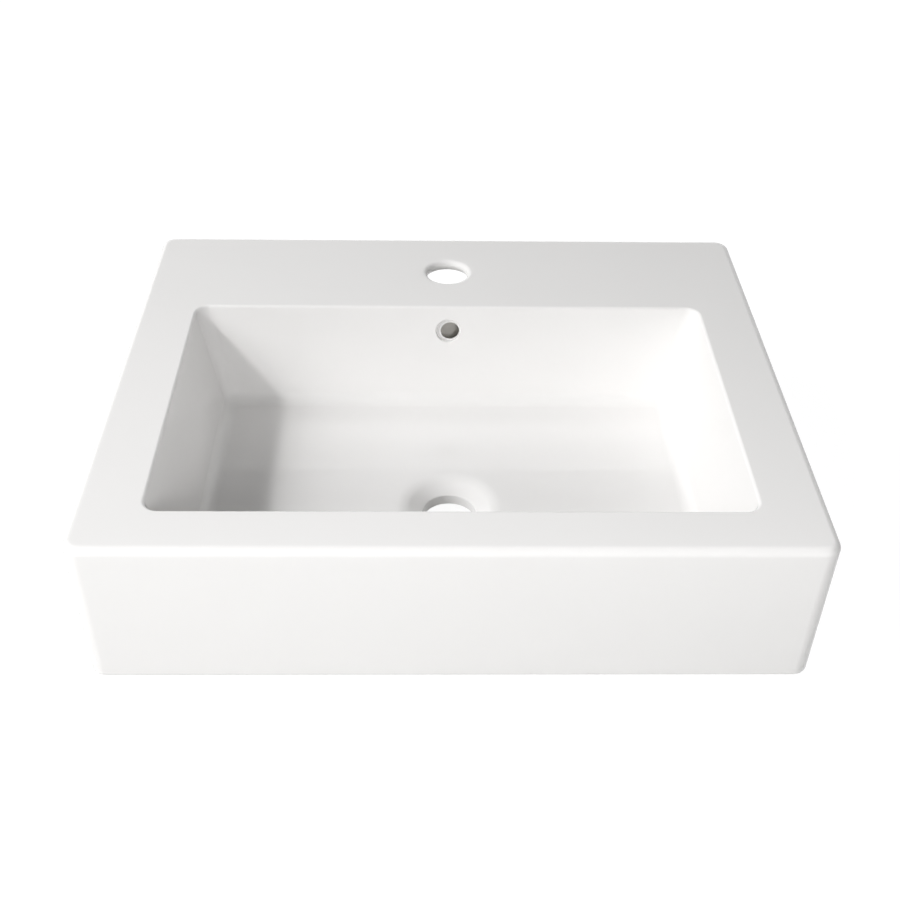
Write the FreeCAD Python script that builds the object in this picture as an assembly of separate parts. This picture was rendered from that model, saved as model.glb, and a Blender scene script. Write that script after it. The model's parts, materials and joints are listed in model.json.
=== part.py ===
import FreeCAD, Part
import math
import os

# Countertop basin in glazed vitreous china, as the ten castings that are stuck together in the clay
# before it is fired. Millimetres, +Z up, front towards -Y, origin on the counter under the middle.

# Outside
WIDTH = 520.0
DEPTH = 420.0
HEIGHT = 124.0
OUTSIDE_LEAN = 0.5  # each outside face comes in by this much from rim to foot
CORNER_RADIUS = 12.0
RIM_ROUNDING = 6.0
FOOT_ROUNDING = 3.0

# Deck and aprons
DECK_THICKNESS = 10.0
APRON_WALL = 10.0
APRON_INNER_RADIUS = 6.0
FRONT_RETURN = 30.0  # length of the front apron's short sides
BACK_OPENING = 400.0  # open width at the back, where hands reach the tap's nut
BACK_RAIL_HEIGHT = 30.0

# Bowl
FRONT_RIM = 40.5
SIDE_RIM = 47.5
TAP_LEDGE = 119.0
BOWL_DEPTH = 90.0
SIDE_WALL_LEAN = 19.0
FRONT_WALL_LEAN = 16.0
BACK_WALL_LEAN = 12.0
BOWL_CORNER_RADIUS = 11.0
MOUTH_ROUNDING = 3.5
BOWL_WALL = 9.0
FLOOR_THICKNESS = 10.0

# Tap hole, in from the back edge
TAP_BORE_RADIUS = 17.5
TAP_HOLE_ROUNDING = 4.5
TAP_SETBACK = 60.5

# Drain, in from the front edge, in a round dish
DRAIN_BORE_RADIUS = 21.5
DRAIN_ROUNDING = 1.5
DRAIN_SETBACK = 148.5
DISH_DEPTH = 7.0
DISH_SEAT_RADIUS = 27.0
DISH_SIDE_RUN = 9.0  # how far out the dish's side runs as it climbs to the floor
DISH_ROUNDING = 4.0

# Overflow: a wide punch from the bowl side meets a narrower one from behind, a little to the right
OVERFLOW_RADIUS = 10.2
OVERFLOW_ROUNDING = 1.0
OVERFLOW_DROP = 22.5
OVERFLOW_PUNCH_DEPTH = 5.0
OVERFLOW_THROAT_RADIUS = 7.6
OVERFLOW_THROAT_SHIFT = 2.5

# Overflow duct and drain collar
DUCT_INNER_WIDTH = 46.0
DUCT_GAP = 12.0
DUCT_WALL = 5.0
DUCT_BEND_RADIUS = 24.0
DUCT_EDGE_ROUNDING = 4.0
COLLAR_CLEARANCE = 10.5  # from the drain's wall out to the collar's
COLLAR_WALL = 7.0
COLLAR_HEIGHT = 9.0
COLLAR_LEDGE = 2.0  # flat left around the collar under the bowl

# Gussets under the tap ledge
GUSSET_SPACING = 190.0
GUSSET_THICKNESS = 9.0
GUSSET_HEIGHT = 70.0
GUSSET_TIP = 14.0
GUSSET_SETBACK = 12.0

# Worked out from the sizes above
CUT_OVER = 5.0  # how far a cutting block runs past the face it cuts
DECK_UNDER = HEIGHT - DECK_THICKNESS
FLOOR_Z = HEIGHT - BOWL_DEPTH
FLOOR_UNDER = FLOOR_Z - FLOOR_THICKNESS
SEAT_Z = FLOOR_Z - DISH_DEPTH
SEAT_UNDER = SEAT_Z - FLOOR_THICKNESS
COLLAR_FOOT = SEAT_UNDER - COLLAR_HEIGHT
MOUTH_FRONT = FRONT_RIM - DEPTH / 2
MOUTH_BACK = DEPTH / 2 - TAP_LEDGE
MOUTH_SIDE = WIDTH / 2 - SIDE_RIM
TAP_Y = DEPTH / 2 - TAP_SETBACK
DRAIN_Y = DRAIN_SETBACK - DEPTH / 2
FRONT_JOINT_Y = FRONT_RETURN - DEPTH / 2
COLLAR_BORE_RADIUS = DRAIN_BORE_RADIUS + COLLAR_CLEARANCE
COLLAR_RADIUS = COLLAR_BORE_RADIUS + COLLAR_WALL

UP = FreeCAD.Vector(0, 0, 1)
RIGHT = FreeCAD.Vector(1, 0, 0)


def frustum(low, bottom, high, top):
    """Block between two level rectangles, each given as its left, right, front and back."""
    left, right, front, back = low
    top_left, top_right, top_front, top_back = high
    wedge = Part.makeWedge(
        left, bottom, -back, -top_back, top_left,
        right, top, -front, -top_front, top_right,
    )
    wedge.rotate(FreeCAD.Vector(0, 0, 0), RIGHT, 90)
    return wedge


def box(left, right, front, back, bottom, top):
    """Upright block between six faces."""
    corner = FreeCAD.Vector(left, front, bottom)
    return Part.makeBox(right - left, back - front, top - bottom, corner)


def plate(outline, width, middle_x=0.0):
    """Block of the given width in X, with its outline given as (y, z) points."""
    start = middle_x - width / 2
    points = [FreeCAD.Vector(start, y, z) for y, z in outline + outline[:1]]
    return Part.Face(Part.makePolygon(points)).extrude(RIGHT * width)


def disc(radius, y, bottom, top):
    """Upright cylinder on the basin's middle line."""
    return Part.makeCylinder(radius, top - bottom, FreeCAD.Vector(0, y, bottom), UP)


def edges_where(shape, test):
    """Edges of a shape whose every vertex passes the test."""
    return [edge for edge in shape.Edges if all(test(vertex.Point) for vertex in edge.Vertexes)]


def circles_at(shape, radius, z):
    """Full or part circles of one radius whose centre is at one height."""
    curved = [edge for edge in shape.Edges if not edge.Degenerated]
    round_ones = [edge for edge in curved if isinstance(edge.Curve, Part.Circle)]
    return [e for e in round_ones if same(e.Curve.Radius, radius) and same(e.Curve.Center.z, z)]


def same(a, b):
    """Two lengths are equal, within what modelling leaves over."""
    return abs(a - b) < 1e-4


def one_solid(shape):
    """The single solid that a cut or fuse left."""
    clean = shape.removeSplitter()
    if len(clean.Solids) != 1:
        raise ValueError(f"expected one solid, found {len(clean.Solids)}")
    return clean.Solids[0]


def outside_block():
    """The basin's filled outside: leaning faces with rounded corners, rim and foot."""
    half_x = WIDTH / 2
    half_y = DEPTH / 2
    low_x = half_x - OUTSIDE_LEAN
    low_y = half_y - OUTSIDE_LEAN
    foot = (-low_x, low_x, -low_y, low_y)
    block = frustum(foot, 0, (-half_x, half_x, -half_y, half_y), HEIGHT)
    upright = [edge for edge in block.Edges if not same(edge.Vertexes[0].Z, edge.Vertexes[1].Z)]
    block = block.makeFillet(CORNER_RADIUS, upright)
    block = block.makeFillet(RIM_ROUNDING, edges_where(block, lambda point: same(point.z, HEIGHT)))
    return block.makeFillet(FOOT_ROUNDING, edges_where(block, lambda point: same(point.z, 0)))


def apron_shell():
    """The whole upstanding wall under the deck, before it is parted into its castings."""
    half_x = WIDTH / 2 - OUTSIDE_LEAN - APRON_WALL
    half_y = DEPTH / 2 - OUTSIDE_LEAN - APRON_WALL
    hollow = box(-half_x, half_x, -half_y, half_y, -CUT_OVER, HEIGHT)
    upright = [edge for edge in hollow.Edges if not same(edge.Vertexes[0].Z, edge.Vertexes[1].Z)]
    hollow = hollow.makeFillet(APRON_INNER_RADIUS, upright)
    below_deck = box(-WIDTH, WIDTH, -DEPTH, DEPTH, -CUT_OVER, DECK_UNDER)
    return outside_block().common(below_deck).cut(hollow)


def wall_share(z):
    """How much of the bowl wall's lean is reached at a height: 0 at the rim, 1 at the floor."""
    return (HEIGHT - z) / BOWL_DEPTH


def back_wall_y(z):
    """Inner face of the bowl's back wall at a height."""
    return MOUTH_BACK - wall_share(z) * BACK_WALL_LEAN


def bowl_block(grow, drop, radius):
    """The bowl's filled inside, with its walls moved out by grow and its floor down by drop."""
    def outline(z):
        side = MOUTH_SIDE - wall_share(z) * SIDE_WALL_LEAN + grow
        front = MOUTH_FRONT + wall_share(z) * FRONT_WALL_LEAN - grow
        return -side, side, front, back_wall_y(z) + grow
    bottom = FLOOR_Z - drop
    top = HEIGHT + CUT_OVER
    block = frustum(outline(bottom), bottom, outline(top), top)
    above = edges_where(block, lambda point: same(point.z, top))
    return block.makeFillet(radius, [edge for edge in block.Edges if not any(edge.isSame(a) for a in above)])


def with_dish(block, seat_radius, floor_z):
    """A bowl block with the drain's dish sunk into its floor."""
    seat_z = floor_z - DISH_DEPTH
    rim_radius = seat_radius + DISH_SIDE_RUN
    dish = Part.makeCone(seat_radius, rim_radius, DISH_DEPTH, FreeCAD.Vector(0, DRAIN_Y, seat_z), UP)
    dished = block.fuse(dish).removeSplitter()
    rims = circles_at(dished, seat_radius, seat_z) + circles_at(dished, rim_radius, floor_z)
    return dished.makeFillet(DISH_ROUNDING, rims)


def bowl_inside():
    """What the bowl holds: the space inside its walls, down to the drain's seat."""
    return with_dish(bowl_block(0, 0, BOWL_CORNER_RADIUS), DISH_SEAT_RADIUS, FLOOR_Z)


def bowl_outside():
    """The bowl's filled outer form, with a boss for the collar under the dish."""
    block = bowl_block(BOWL_WALL, FLOOR_THICKNESS, BOWL_CORNER_RADIUS + BOWL_WALL)
    return with_dish(block, COLLAR_RADIUS + COLLAR_LEDGE + DISH_ROUNDING, FLOOR_UNDER)


def rim_deck():
    """Flat rim and tap ledge, with the tap hole and the bowl's mouth."""
    above_joint = box(-WIDTH, WIDTH, -DEPTH, DEPTH, DECK_UNDER, HEIGHT + CUT_OVER)
    deck = outside_block().common(above_joint).cut(bowl_inside())
    deck = deck.cut(disc(TAP_BORE_RADIUS, TAP_Y, DECK_UNDER - CUT_OVER, HEIGHT + CUT_OVER))

    def on_mouth(point):
        in_y = MOUTH_FRONT - CUT_OVER < point.y < MOUTH_BACK + CUT_OVER
        return same(point.z, HEIGHT) and in_y and abs(point.x) < MOUTH_SIDE + CUT_OVER

    deck = deck.makeFillet(MOUTH_ROUNDING, edges_where(deck, on_mouth))
    deck = deck.makeFillet(TAP_HOLE_ROUNDING, circles_at(deck, TAP_BORE_RADIUS, HEIGHT))
    return one_solid(deck)


def overflow_punch():
    """The overflow's two punched holes, square to the bowl's back wall."""
    lean = math.atan2(BACK_WALL_LEAN, BOWL_DEPTH)
    inwards = FreeCAD.Vector(0, -math.cos(lean), math.sin(lean))
    z = HEIGHT - OVERFLOW_DROP
    centre = FreeCAD.Vector(0, back_wall_y(z), z)
    punch_depth = OVERFLOW_PUNCH_DEPTH + CUT_OVER
    punch = Part.makeCylinder(OVERFLOW_RADIUS, punch_depth, centre + inwards * CUT_OVER, -inwards)
    throat_start = centre + RIGHT * OVERFLOW_THROAT_SHIFT
    throat = Part.makeCylinder(OVERFLOW_THROAT_RADIUS, BOWL_WALL + CUT_OVER, throat_start, -inwards)
    return punch.fuse(throat)


def bowl():
    """Bowl casting: leaning walls, floor, drain dish and overflow."""
    below_deck = box(-WIDTH, WIDTH, -DEPTH, DEPTH, -CUT_OVER, DECK_UNDER)
    shell = bowl_outside().common(below_deck).cut(bowl_inside())
    shell = shell.cut(disc(DRAIN_BORE_RADIUS, DRAIN_Y, SEAT_UNDER - CUT_OVER, FLOOR_Z))
    shell = shell.makeFillet(DRAIN_ROUNDING, circles_at(shell, DRAIN_BORE_RADIUS, SEAT_Z))
    shell = shell.cut(overflow_punch())
    mouth = circles_at(shell, OVERFLOW_RADIUS, HEIGHT - OVERFLOW_DROP)
    return one_solid(shell.makeFillet(OVERFLOW_ROUNDING, mouth))


def front_apron():
    """Front of the skirt with both rounded corners and their short sides."""
    return one_solid(apron_shell().common(box(-WIDTH, WIDTH, -DEPTH, FRONT_JOINT_Y, -CUT_OVER, HEIGHT)))


def left_apron():
    """Left side of the skirt and the return that edges the open back."""
    keep = box(-WIDTH, -BACK_OPENING / 2, FRONT_JOINT_Y, DEPTH, -CUT_OVER, HEIGHT)
    return one_solid(apron_shell().common(keep))


def right_apron():
    """Right side of the skirt, a mirror of the left."""
    return left_apron().mirror(FreeCAD.Vector(0, 0, 0), RIGHT)


def back_rail():
    """Low rail that closes the foot across the open back."""
    half = BACK_OPENING / 2
    return one_solid(apron_shell().common(box(-half, half, 0, DEPTH, -CUT_OVER, BACK_RAIL_HEIGHT)))


def duct_block(wall, width):
    """Filled L behind and under the bowl, its back and bottom this much wall out from the channel."""
    back = BOWL_WALL + DUCT_GAP + wall
    bottom = COLLAR_FOOT + DUCT_WALL - wall
    inside = back_wall_y(FLOOR_Z)
    outline = [
        (inside, DECK_UNDER),
        (back_wall_y(DECK_UNDER) + back, DECK_UNDER),
        (back_wall_y(bottom) + back, bottom),
        (DRAIN_Y, bottom),
        (DRAIN_Y, FLOOR_Z),
        (inside, FLOOR_Z),
    ]
    block = plate(outline, width)
    heel_y = back_wall_y(bottom) + back
    heel = edges_where(block, lambda point: same(point.y, heel_y) and same(point.z, bottom))
    return block.makeFillet(DUCT_BEND_RADIUS - DUCT_WALL + wall, heel)


def duct_channel():
    """The overflow's way down: from the deck behind the bowl, under its floor, to the drain."""
    return duct_block(0, DUCT_INNER_WIDTH)


def overflow_duct():
    """Trough stuck to the back and bottom of the bowl, which carries the overflow to the collar."""
    half = DUCT_INNER_WIDTH / 2 + DUCT_WALL
    block = duct_block(DUCT_WALL, half * 2)

    def outer_run(edge):
        middle = edge.BoundBox.Center
        behind = middle.y > back_wall_y(middle.z) + BOWL_WALL and middle.z < DECK_UNDER - CUT_OVER
        below = middle.z < COLLAR_FOOT + DUCT_WALL and middle.y > DRAIN_Y + CUT_OVER
        return same(abs(middle.x), half) and (behind or below)

    block = block.makeFillet(DUCT_EDGE_ROUNDING, [edge for edge in block.Edges if outer_run(edge)])
    trough = block.cut(duct_channel()).cut(bowl_outside())
    return one_solid(trough.cut(disc(COLLAR_RADIUS, DRAIN_Y, -CUT_OVER, FLOOR_Z)))


def drain_collar():
    """Ring under the drain that takes the overflow's water in and the waste's washer from below."""
    ring = disc(COLLAR_RADIUS, DRAIN_Y, COLLAR_FOOT, SEAT_UNDER)
    ring = ring.cut(disc(COLLAR_BORE_RADIUS, DRAIN_Y, -CUT_OVER, FLOOR_Z))
    return one_solid(ring.cut(duct_channel()))


def left_gusset():
    """Upright web that carries the tap ledge from the back of the bowl."""
    inside = back_wall_y(FLOOR_Z)
    tip_y = DEPTH / 2 - GUSSET_SETBACK
    low = DECK_UNDER - GUSSET_HEIGHT
    outline = [
        (inside, DECK_UNDER),
        (tip_y, DECK_UNDER),
        (tip_y, DECK_UNDER - GUSSET_TIP),
        (back_wall_y(low) + BOWL_WALL, low),
        (inside, low),
    ]
    web = plate(outline, GUSSET_THICKNESS, -GUSSET_SPACING / 2)
    return one_solid(web.cut(bowl_outside()))


def right_gusset():
    """The same web on the other side of the tap."""
    return left_gusset().mirror(FreeCAD.Vector(0, 0, 0), RIGHT)


CASTINGS = [
    rim_deck,
    bowl,
    front_apron,
    left_apron,
    right_apron,
    back_rail,
    overflow_duct,
    drain_collar,
    left_gusset,
    right_gusset,
]

os.makedirs("parts", exist_ok=True)
for casting in CASTINGS:
    solid = casting()
    if not solid.isValid():
        raise ValueError(f"{casting.__name__} is not a valid solid")
    solid.exportStep(f"parts/{casting.__name__}.step")
    print(casting.__name__, "volume", round(solid.Volume), "mm3")
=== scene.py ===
"""Looks of a countertop basin in glazed vitreous china, built around its packed castings."""

import json
import logging
import math
from collections.abc import Callable, Sequence
from dataclasses import dataclass, field
from enum import Enum

import bmesh
import bpy
from bmesh.types import BMEdge, BMFace, BMVert
from mathutils import Matrix, Vector


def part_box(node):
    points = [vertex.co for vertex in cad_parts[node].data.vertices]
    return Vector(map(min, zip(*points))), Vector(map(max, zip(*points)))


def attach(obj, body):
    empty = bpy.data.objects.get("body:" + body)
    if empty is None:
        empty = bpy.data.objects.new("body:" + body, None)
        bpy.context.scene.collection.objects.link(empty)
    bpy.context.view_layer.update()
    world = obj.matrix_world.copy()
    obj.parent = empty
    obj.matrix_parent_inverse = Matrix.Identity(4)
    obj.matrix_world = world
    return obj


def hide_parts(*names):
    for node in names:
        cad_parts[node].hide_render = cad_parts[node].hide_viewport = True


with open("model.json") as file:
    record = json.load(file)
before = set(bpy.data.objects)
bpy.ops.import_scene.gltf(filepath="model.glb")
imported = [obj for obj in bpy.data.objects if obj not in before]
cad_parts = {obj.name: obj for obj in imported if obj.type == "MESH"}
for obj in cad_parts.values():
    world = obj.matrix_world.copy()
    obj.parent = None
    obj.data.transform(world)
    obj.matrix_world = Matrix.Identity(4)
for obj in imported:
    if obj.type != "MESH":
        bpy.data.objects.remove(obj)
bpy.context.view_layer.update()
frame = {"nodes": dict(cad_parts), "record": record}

LOG = logging.getLogger("basin")
MM = 0.001
CORNER_STEPS = 8
LONG_CUTS = 12
SHORT_CUTS = 8
ROUND_STEPS = 64
PROFILE_STEPS = 5
SHARP_ANGLE = math.radians(38)
FLAT_ANGLE = math.radians(0.5)
# Points this near to each other count as level, as one point, or as lying on a cut.
LEVEL_REACH = 0.01 * MM
WELD_REACH = 0.005 * MM
CUT_REACH = 0.001 * MM
# Numbers of a colour mix node's sockets.
MIX_FACTOR = 0
MIX_FIRST = 6
MIX_SECOND = 7
MIX_RESULT = 2


class Finish(Enum):
    """The two surfaces of a casting; the value is the material slot."""

    GLAZE = 0
    BARE = 1


def linear(code: str) -> tuple[float, float, float, float]:
    """Turns an sRGB hex colour into linear light.

    Args:
        code: The colour as six hex digits after a hash.

    Returns:
        The red, green, blue and alpha values that a shader socket takes.
    """
    parts = [int(code[start:start + 2], 16) / 255 for start in (1, 3, 5)]
    light = [part / 12.92 if part <= 0.04045 else ((part + 0.055) / 1.055) ** 2.4 for part in parts]
    return (light[0], light[1], light[2], 1.0)


def add_node(
    tree: bpy.types.NodeTree,
    kind: str,
    inputs: dict[str | int, object] | None = None,
    **settings: object,
) -> bpy.types.Node:
    """Adds one node to a tree, with its settings, values and links.

    Args:
        tree: The node tree that gets the node.
        kind: The node's type.
        inputs: Values or output sockets by the name or number of the input they go to.
        settings: Properties of the node itself.

    Returns:
        The new node.
    """
    node = tree.nodes.new(kind)
    for key, value in settings.items():
        setattr(node, key, value)
    for key, value in (inputs or {}).items():
        if isinstance(value, bpy.types.NodeSocket):
            tree.links.new(value, node.inputs[key])
        else:
            node.inputs[key].default_value = value
    return node


def start_material(name: str) -> tuple[bpy.types.Material, bpy.types.NodeTree]:
    """Makes a material with an empty node tree.

    Args:
        name: The material's name.

    Returns:
        The material and its tree.
    """
    material = bpy.data.materials.new(name)
    material.use_nodes = True
    material.node_tree.nodes.clear()
    return material, material.node_tree


def mount(name: str) -> dict:
    """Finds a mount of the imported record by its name."""
    return next(entry for entry in frame["record"]["mounts"] if entry["name"] == name)


@dataclass(frozen=True)
class Outline:
    """A level rounded rectangle in metres."""

    left: float
    right: float
    front: float
    back: float
    z: float
    radius: float

    def grown(self, amount: float) -> "Outline":
        """Moves every side outwards by an amount, and the corners with them."""
        return Outline(
            self.left - amount,
            self.right + amount,
            self.front - amount,
            self.back + amount,
            self.z,
            self.radius + amount,
        )

    def carry(self, spot: Vector, other: "Outline") -> Vector:
        """Moves a point of this outline to the matching point of another.

        Args:
            spot: A point of this outline.
            other: The outline that the point goes to.

        Returns:
            The matching point.
        """
        spans = (
            (self.left, self.right, other.left, other.right),
            (self.front, self.back, other.front, other.back),
        )
        moved = []
        for value, (low, high, new_low, new_high) in zip(spot, spans):
            turn = other.radius / self.radius
            if value < low + self.radius:
                moved.append(new_low + (value - low) * turn)
            elif value > high - self.radius:
                moved.append(new_high + (value - high) * turn)
            else:
                share = (value - low - self.radius) / (high - low - 2 * self.radius)
                moved.append(new_low + other.radius + share * (new_high - new_low - 2 * other.radius))
        return Vector((*moved, other.z))


@dataclass(frozen=True)
class BasinSizes:
    """Driving sizes in metres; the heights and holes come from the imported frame."""

    width: float = 520 * MM
    depth: float = 420 * MM
    height: float = 124 * MM
    outside_lean: float = 0.5 * MM
    corner_radius: float = 12 * MM
    rim_rounding: float = 6 * MM
    foot_rounding: float = 3 * MM
    apron_wall: float = 10 * MM
    apron_inner_radius: float = 6 * MM
    mouth_side: float = 212.5 * MM
    mouth_front: float = -169.5 * MM
    mouth_back: float = 91 * MM
    mouth_radius: float = 11 * MM
    mouth_rounding: float = 2.6 * MM
    side_lean: float = 19 / 90
    front_lean: float = 16 / 90
    back_lean: float = 12 / 90
    floor_level: float = 34 * MM
    floor_thickness: float = 10 * MM
    floor_rounding: float = 9.4 * MM
    bowl_wall: float = 9 * MM
    dish_depth: float = 8.2 * MM
    dish_rim: float = 36 * MM
    opening_rounding: float = 2.5 * MM
    deck_under: float = field(default_factory=lambda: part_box("rim_deck")[0].z)
    seat_under: float = field(default_factory=lambda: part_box("bowl")[0].z)
    front_joint: float = field(default_factory=lambda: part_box("left_apron")[0].y)
    opening_side: float = field(default_factory=lambda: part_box("back_rail")[1].x)
    rail_top: float = field(default_factory=lambda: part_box("back_rail")[1].z)

    def outside(self, z: float) -> Outline:
        """Gives the basin's outer outline.

        Args:
            z: The height of the outline.

        Returns:
            The outline, a little smaller towards the foot.
        """
        back_off = self.outside_lean * (1 - z / self.height)
        half_x = self.width / 2 - back_off
        half_y = self.depth / 2 - back_off
        return Outline(-half_x, half_x, -half_y, half_y, z, self.corner_radius)

    def inside(self, z: float) -> Outline:
        """Gives the skirt's inner outline at a height."""
        skin = self.outside(z).grown(-self.apron_wall)
        return Outline(skin.left, skin.right, skin.front, skin.back, z, self.apron_inner_radius)

    def mouth(self, z: float) -> Outline:
        """Gives the outline of the bowl's inner wall.

        Args:
            z: The height of the outline.

        Returns:
            The outline, smaller towards the floor because the walls lean.
        """
        down = self.height - z
        side = self.mouth_side - self.side_lean * down
        front = self.mouth_front + self.front_lean * down
        back = self.mouth_back - self.back_lean * down
        return Outline(-side, side, front, back, z, self.mouth_radius)


class CastingMesh:
    """The mesh of one casting while it takes shape."""

    def __init__(self) -> None:
        """Starts with an empty mesh."""
        self.bm = bmesh.new()

    def loop(self, outline: Outline) -> list[BMEdge]:
        """Draws a rounded rectangle, with its straight sides cut into even steps.

        Args:
            outline: Where the rectangle lies.

        Returns:
            The edges of the loop.
        """
        edges_before = set(self.bm.edges)
        faces_before = set(self.bm.faces)
        corners = bmesh.ops.create_grid(self.bm, x_segments=1, y_segments=1, size=1.0)["verts"]
        for corner in corners:
            across = outline.left if corner.co.x < 0 else outline.right
            along = outline.front if corner.co.y < 0 else outline.back
            corner.co = (across, along, outline.z)
        bmesh.ops.bevel(
            self.bm,
            geom=corners,
            affect="VERTICES",
            offset=outline.radius,
            offset_type="OFFSET",
            segments=CORNER_STEPS,
            profile=0.5,
            material=-1,
        )
        sheets = [face for face in self.bm.faces if face not in faces_before]
        bmesh.ops.delete(self.bm, geom=sheets, context="FACES_ONLY")
        sides = sorted(set(self.bm.edges) - edges_before, key=BMEdge.calc_length)[-4:]
        level = [side for side in sides if abs(side.verts[0].co.y - side.verts[1].co.y) < MM]
        deep = [side for side in sides if side not in level]
        bmesh.ops.subdivide_edges(self.bm, edges=level, cuts=LONG_CUTS)
        bmesh.ops.subdivide_edges(self.bm, edges=deep, cuts=SHORT_CUTS)
        return [edge for edge in self.bm.edges if edge not in edges_before]

    def draw(self, edges: list[BMEdge], start: Outline, end: Outline, finish: Finish) -> list[BMEdge]:
        """Draws a loop on to another outline, with a band of faces between the two.

        Args:
            edges: The loop.
            start: The outline on which the loop lies.
            end: The outline on which the new loop lies.
            finish: The finish of the new faces.

        Returns:
            The edges of the new loop.
        """
        made = bmesh.ops.extrude_edge_only(self.bm, edges=edges)["geom"]
        verts = {item for item in made if isinstance(item, BMVert)}
        for vert in verts:
            vert.co = start.carry(vert.co, end)
        for item in made:
            if isinstance(item, BMFace):
                item.material_index = finish.value
        return [item for item in made if isinstance(item, BMEdge) and verts.issuperset(item.verts)]

    def weld(self) -> None:
        """Joins the points that lie on each other."""
        bmesh.ops.remove_doubles(self.bm, verts=self.bm.verts, dist=WELD_REACH)

    def fill(self, edges: list[BMEdge], normal: Vector, finish: Finish) -> None:
        """Closes the flat area between loops.

        Args:
            edges: The outer loop and the loops of the holes in it.
            normal: The direction that the area faces.
            finish: The finish of the new faces.
        """
        made = bmesh.ops.triangle_fill(self.bm, edges=edges, normal=normal, use_beauty=True)
        for face in made["geom"]:
            if isinstance(face, BMFace):
                face.material_index = finish.value

    def cap(self, edges: list[BMEdge], finish: Finish) -> None:
        """Closes one loop with a single flat face."""
        bmesh.ops.edgeloop_fill(self.bm, edges=edges, mat_nr=finish.value)

    def round_off(self, edges: list[BMEdge], offset: float, segments: int) -> None:
        """Rounds edges off with an arc.

        Args:
            edges: The edges.
            offset: How far from the edge the arc starts.
            segments: How many faces make the arc.
        """
        bmesh.ops.bevel(
            self.bm,
            geom=edges,
            affect="EDGES",
            offset=offset,
            offset_type="OFFSET",
            segments=segments,
            profile=0.5,
            material=-1,
        )

    def turn(
        self,
        profile: Sequence[tuple[float, float]],
        rounding: dict[int, float],
        place: Matrix,
        finish: Finish,
    ) -> tuple[list[BMEdge], list[BMEdge]]:
        """Turns a profile once round its axis, like clay on a wheel.

        Args:
            profile: Points of radius and height.
            rounding: Offsets of the arcs at the profile's corners, by the corner's number.
            place: Puts the turned shape where it belongs; its axis is the local Z.
            finish: The finish of the new faces.

        Returns:
            The circles at the profile's first and last points.
        """
        verts_before = set(self.bm.verts)
        faces_before = set(self.bm.faces)
        points = [self.bm.verts.new((radius, 0, height)) for radius, height in profile]
        for start, end in zip(points, points[1:]):
            self.bm.edges.new((start, end))
        for number, offset in rounding.items():
            bmesh.ops.bevel(
                self.bm,
                geom=[points[number]],
                affect="VERTICES",
                offset=offset,
                offset_type="OFFSET",
                segments=PROFILE_STEPS,
                profile=0.5,
                material=-1,
            )
        wire = [vert for vert in self.bm.verts if vert not in verts_before]
        lines = list({edge for vert in wire for edge in vert.link_edges})
        bmesh.ops.spin(
            self.bm,
            geom=wire + lines,
            cent=(0, 0, 0),
            axis=(0, 0, 1),
            angle=2 * math.pi,
            steps=ROUND_STEPS,
            use_merge=True,
        )
        turned = [face for face in self.bm.faces if face not in faces_before]
        for face in turned:
            face.material_index = finish.value
        ends = list({edge for face in turned for edge in face.edges if edge.is_boundary})
        first = [edge for edge in ends if self._on_ring(edge, profile[0])]
        last = [edge for edge in ends if self._on_ring(edge, profile[-1])]
        fresh = [vert for vert in self.bm.verts if vert not in verts_before]
        bmesh.ops.transform(self.bm, matrix=place, verts=fresh)
        return first, last

    @staticmethod
    def _on_ring(edge: BMEdge, point: tuple[float, float]) -> bool:
        """Tells whether an edge lies on the circle that a profile point makes."""
        spot = edge.verts[0].co
        return math.hypot(math.hypot(spot.x, spot.y) - point[0], spot.z - point[1]) < LEVEL_REACH

    def clear(self, wanted: Callable[[BMFace], bool]) -> list[BMEdge]:
        """Takes the faces away that pass a test.

        Args:
            wanted: The test.

        Returns:
            The edges round the gap.
        """
        faces = {face for face in self.bm.faces if wanted(face)}
        edges = {edge for face in faces for edge in face.edges}
        rim = [edge for edge in edges if sum(face in faces for face in edge.link_faces) == 1]
        bmesh.ops.delete(self.bm, geom=list(faces), context="FACES")
        return rim

    def edges_where(self, wanted: Callable[[Vector], bool]) -> list[BMEdge]:
        """Finds the edges of which both ends pass a test."""
        return [edge for edge in self.bm.edges if all(wanted(vert.co) for vert in edge.verts)]

    def split(self, point: Sequence[float], normal: Sequence[float]) -> None:
        """Draws a line across the faces where a plane meets them."""
        whole = self.bm.verts[:] + self.bm.edges[:] + self.bm.faces[:]
        bmesh.ops.bisect_plane(self.bm, geom=whole, dist=CUT_REACH, plane_co=point, plane_no=normal)

    def cut(self, point: Sequence[float], away: Sequence[float]) -> None:
        """Cuts off what lies beyond a plane, and closes the cut with bare faces.

        Args:
            point: A point of the plane.
            away: The direction of the part that goes.
        """
        whole = self.bm.verts[:] + self.bm.edges[:] + self.bm.faces[:]
        done = bmesh.ops.bisect_plane(
            self.bm, geom=whole, dist=CUT_REACH, plane_co=point, plane_no=away, clear_outer=True
        )
        rim = [item for item in done["geom_cut"] if isinstance(item, BMEdge)]
        for face in bmesh.ops.holes_fill(self.bm, edges=rim, sides=0)["faces"]:
            face.material_index = Finish.BARE.value

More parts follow.
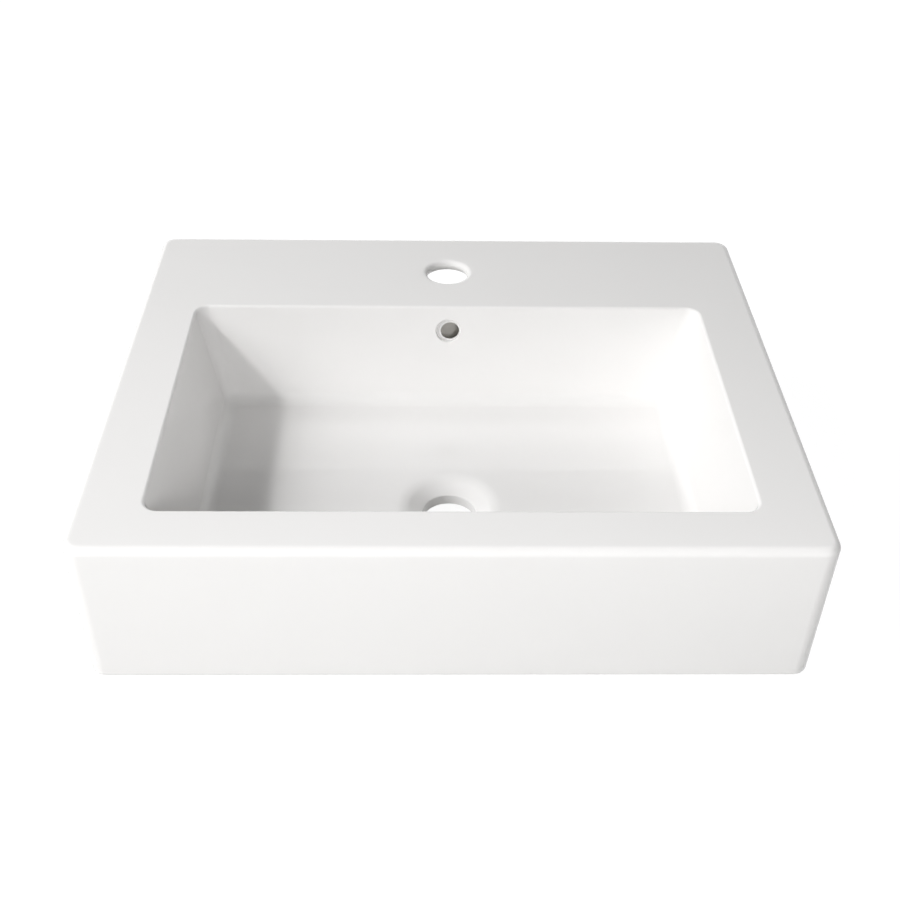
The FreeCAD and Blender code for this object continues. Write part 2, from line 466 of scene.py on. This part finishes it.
    def piece(self, name: str, materials: Sequence[bpy.types.Material]) -> bpy.types.Object:
        """Ends the shaping and makes the object, with a crease at each steep or marked edge.

        Args:
            name: The object's name.
            materials: One material for each finish.

        Returns:
            The object, in the scene and at the origin.
        """
        self.weld()
        bmesh.ops.recalc_face_normals(self.bm, faces=self.bm.faces)
        for face in self.bm.faces:
            face.smooth = True
        for edge in self.bm.edges:
            edge.smooth = edge.calc_face_angle(0) < SHARP_ANGLE and not edge.seam
        mesh = bpy.data.meshes.new(name)
        self.bm.to_mesh(mesh)
        self.bm.free()
        for material in materials:
            mesh.materials.append(material)
        made = bpy.data.objects.new(name, mesh)
        bpy.context.scene.collection.objects.link(made)
        weighted = made.modifiers.new("even_normals", "WEIGHTED_NORMAL")
        weighted.keep_sharp = True
        return made


@dataclass(frozen=True)
class GlazedChina:
    """Glazed vitreous china: slip cast, sprayed with glaze and fired.

    The eye gets a clean white body that drifts a little in tone, a sharp sheen that a faint ripple breaks up,
    and a dry, unglazed line where the glaze is wiped off the foot.
    """

    body: str = "#f4f3f2"
    pooled: str = "#f2f1f0"
    wiped: str = "#e8e4dc"
    roughness: float = 0.035
    dry_roughness: float = 0.72
    ior: float = 1.5
    drift_size: float = 90 * MM
    ripple_size: float = 42 * MM
    ripple_height: float = 0.10 * MM
    peel_size: float = 3.2 * MM
    peel_height: float = 0.004 * MM
    glaze_start: float = 1.9 * MM
    glaze_full: float = 2.3 * MM
    line_wander: float = 9 * MM
    line_swing: float = 1.2 * MM

    def build(self) -> bpy.types.Material:
        """Makes the material.

        Returns:
            The finished material.
        """
        material, tree = start_material("glazed_vitreous_china")
        place = add_node(tree, "ShaderNodeTexCoord").outputs["Object"]
        drift = add_node(
            tree, "ShaderNodeTexNoise", {"Vector": place, "Scale": 1 / self.drift_size, "Detail": 2.0}
        )
        tone = add_node(
            tree,
            "ShaderNodeMix",
            {
                MIX_FACTOR: drift.outputs["Fac"],
                MIX_FIRST: linear(self.body),
                MIX_SECOND: linear(self.pooled),
            },
            data_type="RGBA",
        )
        height = add_node(tree, "ShaderNodeSeparateXYZ", {"Vector": place}).outputs["Z"]
        wander = add_node(
            tree, "ShaderNodeTexNoise", {"Vector": place, "Scale": 1 / self.line_wander, "Detail": 3.0}
        )
        line = add_node(
            tree,
            "ShaderNodeMath",
            {0: wander.outputs["Fac"], 1: self.line_swing, 2: height},
            operation="MULTIPLY_ADD",
        )
        glazed = add_node(
            tree,
            "ShaderNodeMapRange",
            {"Value": line.outputs[0], "From Min": self.glaze_start, "From Max": self.glaze_full},
            interpolation_type="SMOOTHSTEP",
        )
        colour = add_node(
            tree,
            "ShaderNodeMix",
            {
                MIX_FACTOR: glazed.outputs["Result"],
                MIX_FIRST: linear(self.wiped),
                MIX_SECOND: tone.outputs[MIX_RESULT],
            },
            data_type="RGBA",
        )
        dull = add_node(
            tree,
            "ShaderNodeMapRange",
            {"Value": glazed.outputs["Result"], "To Min": self.dry_roughness, "To Max": self.roughness},
        )
        ripple = add_node(
            tree, "ShaderNodeTexNoise", {"Vector": place, "Scale": 1 / self.ripple_size, "Detail": 1.0}
        )
        wave = add_node(
            tree,
            "ShaderNodeBump",
            {"Height": ripple.outputs["Fac"], "Strength": 1.0, "Distance": self.ripple_height},
        )
        peel = add_node(
            tree, "ShaderNodeTexNoise", {"Vector": place, "Scale": 1 / self.peel_size, "Detail": 0.0}
        )
        skin = add_node(
            tree,
            "ShaderNodeBump",
            {
                "Height": peel.outputs["Fac"],
                "Strength": 1.0,
                "Distance": self.peel_height,
                "Normal": wave.outputs["Normal"],
            },
        )
        surface = add_node(
            tree,
            "ShaderNodeBsdfPrincipled",
            {
                "Base Color": colour.outputs[MIX_RESULT],
                "Roughness": dull.outputs["Result"],
                "IOR": self.ior,
                "Normal": skin.outputs["Normal"],
            },
        )
        add_node(tree, "ShaderNodeOutputMaterial", {"Surface": surface.outputs["BSDF"]})
        return material


@dataclass(frozen=True)
class BareChina:
    """Bare fired china: dry, creamy and matte, with a fine grain and the marks of a damp sponge."""

    light: str = "#f2f0eb"
    dark: str = "#e9e5dd"
    rubbed_roughness: float = 0.66
    dry_roughness: float = 0.86
    ior: float = 1.55
    mottle_size: float = 30 * MM
    sponge_size: float = 7 * MM
    sponge_height: float = 0.30 * MM
    stroke_stretch: tuple[float, float, float] = (0.35, 1.0, 0.6)
    grain_size: float = 0.9 * MM
    grain_height: float = 0.05 * MM

    def build(self) -> bpy.types.Material:
        """Makes the material.

        Returns:
            The finished material.
        """
        material, tree = start_material("bare_fired_china")
        place = add_node(tree, "ShaderNodeTexCoord").outputs["Object"]
        mottle = add_node(
            tree,
            "ShaderNodeTexNoise",
            {"Vector": place, "Scale": 1 / self.mottle_size, "Detail": 4.0, "Roughness": 0.6},
        )
        colour = add_node(
            tree,
            "ShaderNodeMix",
            {
                MIX_FACTOR: mottle.outputs["Fac"],
                MIX_FIRST: linear(self.light),
                MIX_SECOND: linear(self.dark),
            },
            data_type="RGBA",
        )
        dull = add_node(
            tree,
            "ShaderNodeMapRange",
            {"Value": mottle.outputs["Fac"], "To Min": self.rubbed_roughness, "To Max": self.dry_roughness},
        )
        strokes = add_node(tree, "ShaderNodeMapping", {"Vector": place, "Scale": self.stroke_stretch})
        sponge = add_node(
            tree,
            "ShaderNodeTexNoise",
            {"Vector": strokes.outputs["Vector"], "Scale": 1 / self.sponge_size, "Detail": 2.0},
        )
        wiped = add_node(
            tree,
            "ShaderNodeBump",
            {"Height": sponge.outputs["Fac"], "Strength": 1.0, "Distance": self.sponge_height},
        )
        grain = add_node(
            tree,
            "ShaderNodeTexNoise",
            {"Vector": place, "Scale": 1 / self.grain_size, "Detail": 3.0, "Roughness": 0.7},
        )
        skin = add_node(
            tree,
            "ShaderNodeBump",
            {
                "Height": grain.outputs["Fac"],
                "Strength": 1.0,
                "Distance": self.grain_height,
                "Normal": wiped.outputs["Normal"],
            },
        )
        surface = add_node(
            tree,
            "ShaderNodeBsdfPrincipled",
            {
                "Base Color": colour.outputs[MIX_RESULT],
                "Roughness": dull.outputs["Result"],
                "IOR": self.ior,
                "Normal": skin.outputs["Normal"],
            },
        )
        add_node(tree, "ShaderNodeOutputMaterial", {"Surface": surface.outputs["BSDF"]})
        return material


@dataclass
class Casting:
    """One casting of the basin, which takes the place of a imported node."""

    sizes: BasinSizes
    node: str
    slot: str = "white_glaze"

    def shape(self) -> CastingMesh:
        """Shapes the casting."""
        raise NotImplementedError

    def build(self, materials: Sequence[bpy.types.Material]) -> bpy.types.Object:
        """Shapes the casting and puts it in the node's place.

        Args:
            materials: One material for each finish.

        Returns:
            The object that was made.
        """
        made = self.shape().piece(f"{self.node}_casting", materials)
        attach(made, "root")
        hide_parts(self.node)
        return made


@dataclass
class RimDeck(Casting):
    """Flat rim and tap ledge, with the mouth of the bowl and the tap hole."""

    node: str = "rim_deck"
    rim_steps: int = 7
    mouth_steps: int = 6
    tap_rounding: float = 4.5 * MM
    tap_margin: float = 9 * MM
    tap_foot_rounding: float = 5.4 * MM
    tap_foot_margin: float = 10.8 * MM
    tap_reach: float = 40 * MM

    def shape(self) -> CastingMesh:
        """Shapes the deck from four loops, then opens the tap hole.

        Returns:
            The deck's mesh.
        """
        sizes = self.sizes
        mesh = CastingMesh()
        top = sizes.height
        under = sizes.deck_under
        outer_low = mesh.loop(sizes.outside(under))
        outer_high = mesh.draw(outer_low, sizes.outside(under), sizes.outside(top), Finish.GLAZE)
        mouth_high = mesh.draw(outer_high, sizes.outside(top), sizes.mouth(top), Finish.GLAZE)
        mouth_low = mesh.draw(mouth_high, sizes.mouth(top), sizes.mouth(under), Finish.GLAZE)
        mesh.draw(mouth_low, sizes.mouth(under), sizes.outside(under), Finish.BARE)
        mesh.weld()
        mesh.round_off(outer_high, sizes.rim_rounding, self.rim_steps)
        # The bowl's walls lean, so the mouth's arc turns through less than a quarter circle.
        half_turn = math.radians(45) - math.atan(sizes.side_lean) / 2
        mesh.round_off(mouth_high, sizes.mouth_rounding * math.tan(half_turn), self.mouth_steps)
        self._open_tap_hole(mesh)
        return mesh

    def _open_tap_hole(self, mesh: CastingMesh) -> None:
        """Opens the tap hole through the ledge, with soft edges.

        Args:
            mesh: The deck's mesh.
        """
        sizes = self.sizes
        hole = mount("tap_hole")
        bore = hole["dims"]["r_mm"] * MM
        place = Matrix.Translation((0, hole["pos_m"][1], 0))
        gaps = [
            mesh.clear(
                lambda face: all(abs(vert.co.z - level) < LEVEL_REACH for vert in face.verts)
                and face.calc_center_median().y > sizes.mouth_back
                and abs(face.calc_center_median().x) < self.tap_reach
            )
            for level in (sizes.height, sizes.deck_under)
        ]
        profile = (
            (bore + self.tap_margin, sizes.height),
            (bore, sizes.height),
            (bore, sizes.deck_under),
            (bore + self.tap_foot_margin, sizes.deck_under),
        )
        softness = {1: self.tap_rounding, 2: self.tap_foot_rounding}
        lip, foot = mesh.turn(profile, softness, place, Finish.GLAZE)
        mesh.fill(gaps[0] + lip, Vector((0, 0, 1)), Finish.GLAZE)
        mesh.fill(gaps[1] + foot, Vector((0, 0, -1)), Finish.BARE)


@dataclass
class Bowl(Casting):
    """Leaning walls, floor, dished drain and overflow hole."""

    node: str = "bowl"
    floor_steps: int = 9
    outer_share: float = 0.75
    floor_face: float = 360 * MM * MM
    dish_margin: float = 6.24 * MM
    dish_rim_rounding: float = 5.2 * MM
    drain_rounding: float = 0.6 * MM
    boss_margin: float = 4 * MM
    boss_run: float = 9 * MM
    boss_rounding: float = 1.4 * MM
    wall_face: float = 408 * MM * MM
    overflow_reach: float = 40 * MM
    overflow_margin: float = 1.8 * MM
    overflow_rounding: float = 1.0 * MM
    punch_depth: float = 3.5 * MM
    throat_radius: float = 7.9 * MM
    throat_flare: float = 11.5 * MM
    throat_right: float = 1.7 * MM
    throat_down: float = 1.1 * MM
    throat_lip: float = 1.2 * MM

    def shape(self) -> CastingMesh:
        """Shapes the inner and outer shells, then opens the drain and the overflow.

        Returns:
            The bowl's mesh.
        """
        sizes = self.sizes
        mesh = CastingMesh()
        floor = sizes.floor_level
        under = floor - sizes.floor_thickness
        top = sizes.mouth(sizes.deck_under)
        top_outside = top.grown(sizes.bowl_wall)
        foot_outside = sizes.mouth(under).grown(sizes.bowl_wall)
        outer_rounding = sizes.floor_rounding + self.outer_share * sizes.bowl_wall
        inner_high = mesh.loop(top)
        inner_low = mesh.draw(inner_high, top, sizes.mouth(floor), Finish.GLAZE)
        outer_high = mesh.draw(inner_high, top, top_outside, Finish.BARE)
        outer_low = mesh.draw(outer_high, top_outside, foot_outside, Finish.BARE)
        mesh.cap(inner_low, Finish.GLAZE)
        mesh.cap(outer_low, Finish.BARE)
        mesh.round_off(inner_low, sizes.floor_rounding, self.floor_steps)
        mesh.round_off(outer_low, outer_rounding, self.floor_steps)
        self._open_drain(mesh, floor, under)
        self._open_overflow(mesh)
        return mesh

    def _flat_at(self, face: BMFace, z: float) -> bool:
        """Tells whether a face is the broad flat one at a height."""
        broad = face.calc_area() > self.floor_face
        return broad and all(abs(vert.co.z - z) < LEVEL_REACH for vert in face.verts)

    def _open_drain(self, mesh: CastingMesh, floor: float, under: float) -> None:
        """Sinks the dish into the floor, bores the drain and builds the boss below it.

        Args:
            mesh: The bowl's mesh.
            floor: The height of the floor's upper face.
            under: The height of its lower face.
        """
        sizes = self.sizes
        hole = mount("drain_hole")
        bore = hole["dims"]["r_mm"] * MM
        place = Matrix.Translation((0, hole["pos_m"][1], 0))
        rim = sizes.dish_rim
        dish = (
            (rim + self.dish_margin, floor),
            (rim, floor),
            (bore, floor - sizes.dish_depth),
            (bore, sizes.seat_under),
        )
        softness = {1: self.dish_rim_rounding, 2: self.drain_rounding}
        lip, _ = mesh.turn(dish, softness, place, Finish.GLAZE)
        gap = mesh.clear(lambda face: self._flat_at(face, floor))
        mesh.fill(gap + lip, Vector((0, 0, 1)), Finish.GLAZE)
        wide = rim + 2 * self.boss_run
        boss = (
            (wide + self.boss_margin, under),
            (wide, under),
            (rim + self.boss_run, sizes.seat_under),
            (bore, sizes.seat_under),
        )
        softness = {1: self.boss_rounding, 2: self.boss_rounding}
        lip, _ = mesh.turn(boss, softness, place, Finish.BARE)
        gap = mesh.clear(lambda face: self._flat_at(face, under))
        mesh.fill(gap + lip, Vector((0, 0, -1)), Finish.BARE)

    def _open_overflow(self, mesh: CastingMesh) -> None:
        """Punches the overflow into the back wall, with a narrower throat behind it.

        Args:
            mesh: The bowl's mesh.
        """
        sizes = self.sizes
        hole = mount("overflow_hole")
        bore = hole["dims"]["r_mm"] * MM
        axis = Vector(hole["axis"]).normalized()
        wall_point = Vector((0, sizes.mouth_back, sizes.height))
        middle = Vector(hole["pos_m"])
        middle += axis * (wall_point - middle).dot(axis)
        place = Matrix.Translation(middle) @ axis.to_track_quat("Z", "Y").to_matrix().to_4x4()
        down = Vector((0, axis.z, -axis.y)) * -self.throat_down
        aside = Matrix.Translation(Vector((self.throat_right, 0, 0)) + down) @ place
        wall = sizes.bowl_wall * -axis.y
        punch = (
            (bore + self.overflow_margin, 0),
            (bore, 0),
            (bore, -self.punch_depth),
        )
        throat = (
            (self.throat_radius, -self.punch_depth),
            (self.throat_radius, -self.punch_depth - self.throat_lip),
            (self.throat_flare, -wall),
        )
        lip, step = mesh.turn(punch, {1: self.overflow_rounding}, place, Finish.GLAZE)
        neck, outlet = mesh.turn(throat, {}, aside, Finish.GLAZE)
        mesh.fill(step + neck, axis, Finish.GLAZE)
        for depth, loops, normal, finish in (
            (0.0, lip, axis, Finish.GLAZE),
            (wall, outlet, -axis, Finish.BARE),
        ):
            gap = mesh.clear(
                lambda face: all(
                    abs((vert.co - wall_point).dot(axis) + depth) < LEVEL_REACH for vert in face.verts
                )
                and face.calc_area() > self.wall_face
                and abs(face.calc_center_median().x) < self.overflow_reach
            )
            mesh.fill(gap + loops, normal, finish)


@dataclass
class SkirtCasting(Casting):
    """A length of the skirt: part of one ring with a rounded foot."""

    foot_steps: int = 5
    opening_steps: int = 4

    def ring(self) -> CastingMesh:
        """Shapes the whole ring, from which each casting is cut.

        Returns:
            The ring's mesh.
        """
        sizes = self.sizes
        mesh = CastingMesh()
        top = sizes.deck_under
        inner_low = mesh.loop(sizes.inside(0))
        outer_low = mesh.draw(inner_low, sizes.inside(0), sizes.outside(0), Finish.BARE)
        outer_high = mesh.draw(outer_low, sizes.outside(0), sizes.outside(top), Finish.GLAZE)
        inner_high = mesh.draw(outer_high, sizes.outside(top), sizes.inside(top), Finish.BARE)
        mesh.draw(inner_high, sizes.inside(top), sizes.inside(0), Finish.BARE)
        mesh.weld()
        mesh.round_off(outer_low, sizes.foot_rounding, self.foot_steps)
        return mesh


@dataclass
class FrontApron(SkirtCasting):
    """Front face with both rounded corners."""

    node: str = "front_apron"

    def shape(self) -> CastingMesh:
        """Cuts the front off the ring.

        Returns:
            The apron's mesh.
        """
        mesh = self.ring()
        mesh.cut((0, self.sizes.front_joint, 0), (0, 1, 0))
        return mesh


@dataclass
class SideApron(SkirtCasting):
    """One side, with its return beside the open back."""

    node: str = "left_apron"
    side: int = -1
    tall_edge: float = 10 * MM
    creased_edge: float = 1 * MM

    @staticmethod
    def _climb(edge: BMEdge) -> float:
        """Gives the height between an edge's ends."""
        return abs(edge.verts[0].co.z - edge.verts[1].co.z)

    def shape(self) -> CastingMesh:
        """Cuts a side off the ring and softens the edges of the open back.

        Returns:
            The apron's mesh, with creases marked where the soft edge runs out above the rail.
        """
        sizes = self.sizes
        end = self.side * sizes.opening_side
        reach = sizes.opening_rounding + LEVEL_REACH
        mesh = self.ring()
        mesh.cut((0, sizes.front_joint, 0), (0, -1, 0))
        mesh.cut((end, 0, 0), (-self.side, 0, 0))
        mesh.split((0, 0, sizes.rail_top), (0, 0, 1))
        upright = mesh.edges_where(
            lambda spot: abs(spot.x - end) < LEVEL_REACH and spot.z > sizes.rail_top - LEVEL_REACH
        )
        tall = [edge for edge in upright if self._climb(edge) > self.tall_edge]
        mesh.round_off(tall, sizes.opening_rounding, self.opening_steps)
        runout = mesh.edges_where(
            lambda spot: abs(spot.x - end) < reach and -reach < spot.z - sizes.rail_top < LEVEL_REACH
        )
        for edge in runout:
            edge.seam = self._climb(edge) > self.creased_edge
        return mesh


@dataclass
class BackRail(SkirtCasting):
    """Low rail that closes the foot at the back."""

    node: str = "back_rail"
    straightness: float = 0.1 * MM

    def shape(self) -> CastingMesh:
        """Cuts the rail off the ring and softens its upper edges.

        Returns:
            The rail's mesh.
        """
        sizes = self.sizes
        mesh = self.ring()
        mesh.cut((0, 0, 0), (0, -1, 0))
        mesh.cut((sizes.opening_side, 0, 0), (1, 0, 0))
        mesh.cut((-sizes.opening_side, 0, 0), (-1, 0, 0))
        mesh.cut((0, 0, sizes.rail_top), (0, 0, 1))
        top = mesh.edges_where(lambda spot: abs(spot.z - sizes.rail_top) < LEVEL_REACH)
        long = [
            edge for edge in top if abs(edge.verts[0].co.y - edge.verts[1].co.y) < self.straightness
        ]
        mesh.round_off(long, sizes.opening_rounding, self.opening_steps)
        return mesh


@dataclass
class HiddenCasting(Casting):
    """A casting behind the bowl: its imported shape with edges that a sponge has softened."""

    slot: str = "bare_china"
    edge_rounding: float = 1.4 * MM
    edge_steps: int = 3
    joint_slope: float = 0.5

    def shape(self) -> CastingMesh:
        """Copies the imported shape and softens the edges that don't bound a joint.

        Returns:
            The casting's mesh.
        """
        mesh = CastingMesh()
        mesh.bm.from_mesh(frame["nodes"][self.node].data)
        mesh.weld()
        bmesh.ops.dissolve_limit(
            mesh.bm, angle_limit=FLAT_ANGLE, verts=mesh.bm.verts, edges=mesh.bm.edges
        )
        outward = [
            edge for edge in mesh.bm.edges
            if edge.is_convex and edge.calc_face_angle(0) > SHARP_ANGLE
            and not any(self._joins(face) for face in edge.link_faces)
        ]
        mesh.round_off(outward, self.edge_rounding, self.edge_steps)
        for face in mesh.bm.faces:
            face.material_index = Finish.BARE.value
        return mesh

    def _joins(self, face: BMFace) -> bool:
        """Tells whether a face looks up at the deck or forward at the bowl."""
        return face.normal.z > self.joint_slope or face.normal.y < -self.joint_slope


@dataclass
class DrainCollar:
    """The ring under the drain, out of sight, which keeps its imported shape."""

    node: str = "drain_collar"

    def dress(self, bare: bpy.types.Material) -> None:
        """Gives the ring its finish.

        Args:
            bare: The bare fired china.
        """
        ring = frame["nodes"][self.node]
        for slot in ring.material_slots:
            slot.material = bare
        LOG.info("dressed %s", self.node)


@dataclass(frozen=True)
class Softbox:
    """A square area lamp, placed by its direction from the point that it is aimed at.

    The azimuth and elevation are in degrees, the distance and size in metres.
    """

    name: str
    azimuth: float
    elevation: float
    distance: float
    size: float
    watts: float
    beam: float = 180
    aim: tuple[float, float, float] = (0, 0, 62 * MM)

    def place(self) -> None:
        """Makes the lamp and turns it to the point that it is aimed at."""
        lamp = bpy.data.lights.new(self.name, "AREA")
        lamp.shape = "SQUARE"
        lamp.size = self.size
        lamp.energy = self.watts
        lamp.spread = math.radians(self.beam)
        made = bpy.data.objects.new(self.name, lamp)
        made.visible_glossy = False
        flat = math.cos(math.radians(self.elevation))
        side = math.radians(self.azimuth)
        towards = Vector((
            flat * math.sin(side),
            -flat * math.cos(side),
            math.sin(math.radians(self.elevation)),
        ))
        made.location = Vector(self.aim) + towards * self.distance
        made.rotation_euler = towards.to_track_quat("Z", "Y").to_euler()
        bpy.context.scene.collection.objects.link(made)


@dataclass
class Studio:
    """White sweep, lamps and camera."""

    sweep_reach: float = 4.5
    sweep_wall: float = 1.6
    sweep_bend: float = 0.8
    seen_glow: float = 0.96
    seen_share: str = "#626262"
    sweep_tone: str = "#b4b4b3"
    room_tone: str = "#ffffff"
    ambient: float = 0.09
    lamps: tuple[Softbox, ...] = (
        Softbox("key_far", -45.5, 40.3, 5.0, 0.36, 59.5),
        Softbox("key_near", -50, 37, 1.8, 0.32, 3.4),
        Softbox("left_wide", -79, 34, 3.5, 1.2, 41),
        Softbox("left_high", -79, 46, 3.5, 1.2, 12.5),
        Softbox("left_rear", -120, 44, 3.5, 0.5, 17.5),
        Softbox("front_fill", 9, 28, 1.3, 0.3, 5.1),
        Softbox("front_low", -25, 0, 1.05, 0.1, 1.0),
        Softbox("bowl_fill", 80, 24, 1.5, 0.12, 0.0036, beam=9, aim=(-200 * MM, -30 * MM, 75 * MM)),
        Softbox("back_light", 170, 35, 3.5, 1.0, 21.5),
    )
    camera_place: tuple[float, float, float] = (-0.01966, -0.79752, 0.67947)
    camera_down: float = 38.658
    camera_aside: float = 1.511
    camera_roll: float = 1.113
    lens: float = 49.026
    sensor: float = 36

    def build(self) -> None:
        """Sets up everything round the basin."""
        self._sweep()
        self._world()
        for lamp in self.lamps:
            lamp.place()
        self._camera()
        bpy.context.scene.view_settings.view_transform = "Standard"

    @staticmethod
    def _seen(tree: bpy.types.NodeTree) -> bpy.types.NodeSocket:
        """Picks out the rays that show the sweep to the eye, straight or in a reflection.

        Args:
            tree: The sweep's node tree.

        Returns:
            A socket that gives 1 on those rays and 0 on the rest.
        """
        path = add_node(tree, "ShaderNodeLightPath")
        mirrored = add_node(
            tree,
            "ShaderNodeMath",
            {0: path.outputs["Is Glossy Ray"], 1: path.outputs["Is Transmission Ray"]},
            operation="MAXIMUM",
        )
        either = add_node(
            tree,
            "ShaderNodeMath",
            {0: path.outputs["Is Camera Ray"], 1: mirrored.outputs[0]},
            operation="MAXIMUM",
        )
        return either.outputs[0]

    def _sweep(self) -> None:
        """Lays the round white sweep, which shows only a trace of the basin's shadow."""
        mesh = CastingMesh()
        paper = ((0.0, 0.0), (self.sweep_reach, 0.0), (self.sweep_reach, self.sweep_wall))
        mesh.turn(paper, {1: self.sweep_bend}, Matrix.Identity(4), Finish.GLAZE)
        material, tree = start_material("white_paper_sweep")
        matte = add_node(tree, "ShaderNodeBsdfDiffuse", {"Color": linear(self.sweep_tone)})
        glow = add_node(tree, "ShaderNodeEmission", {"Strength": self.seen_glow})
        share = add_node(tree, "ShaderNodeBsdfDiffuse", {"Color": linear(self.seen_share)})
        shown = add_node(tree, "ShaderNodeAddShader", {0: glow.outputs[0], 1: share.outputs[0]})
        mixed = add_node(
            tree,
            "ShaderNodeMixShader",
            {0: self._seen(tree), 1: matte.outputs[0], 2: shown.outputs[0]},
        )
        add_node(tree, "ShaderNodeOutputMaterial", {"Surface": mixed.outputs[0]})
        floor = mesh.piece("white_sweep", (material,))

    def _world(self) -> None:
        """Fills the room above the sweep with a low even light."""
        world = bpy.data.worlds.new("dim_room")
        world.use_nodes = True
        tree = world.node_tree
        tree.nodes.clear()
        room = add_node(
            tree, "ShaderNodeBackground", {"Color": linear(self.room_tone), "Strength": self.ambient}
        )
        add_node(tree, "ShaderNodeOutputWorld", {"Surface": room.outputs[0]})
        bpy.context.scene.world = world

    def _camera(self) -> None:
        """Puts the camera where the photo was taken from."""
        lens = bpy.data.cameras.new("camera")
        lens.sensor_width = self.sensor
        lens.lens = self.lens
        camera = bpy.data.objects.new("camera", lens)
        turn = Matrix.Rotation(-math.radians(self.camera_aside), 4, "Z")
        tilt = Matrix.Rotation(math.radians(90 - self.camera_down), 4, "X")
        roll = Matrix.Rotation(math.radians(self.camera_roll), 4, "Z")
        camera.matrix_world = Matrix.Translation(self.camera_place) @ turn @ tilt @ roll
        bpy.context.scene.collection.objects.link(camera)
        bpy.context.scene.camera = camera


def main() -> None:
    """Builds the basin and its studio in order."""
    logging.basicConfig(level=logging.INFO, format="%(name)s: %(message)s")
    sizes = BasinSizes()
    glaze = GlazedChina().build()
    bare = BareChina().build()
    castings: tuple[Casting, ...] = (
        RimDeck(sizes),
        Bowl(sizes),
        FrontApron(sizes),
        SideApron(sizes),
        SideApron(sizes, node="right_apron", side=1),
        BackRail(sizes),
        HiddenCasting(sizes, "overflow_duct"),
        HiddenCasting(sizes, "left_gusset"),
        HiddenCasting(sizes, "right_gusset"),
    )
    for casting in castings:
        made = casting.build((glaze, bare))
        LOG.info("built %s with %d faces", made.name, len(made.data.polygons))
    DrainCollar().dress(bare)
    Studio().build()


if __name__ == "__main__":
    main()
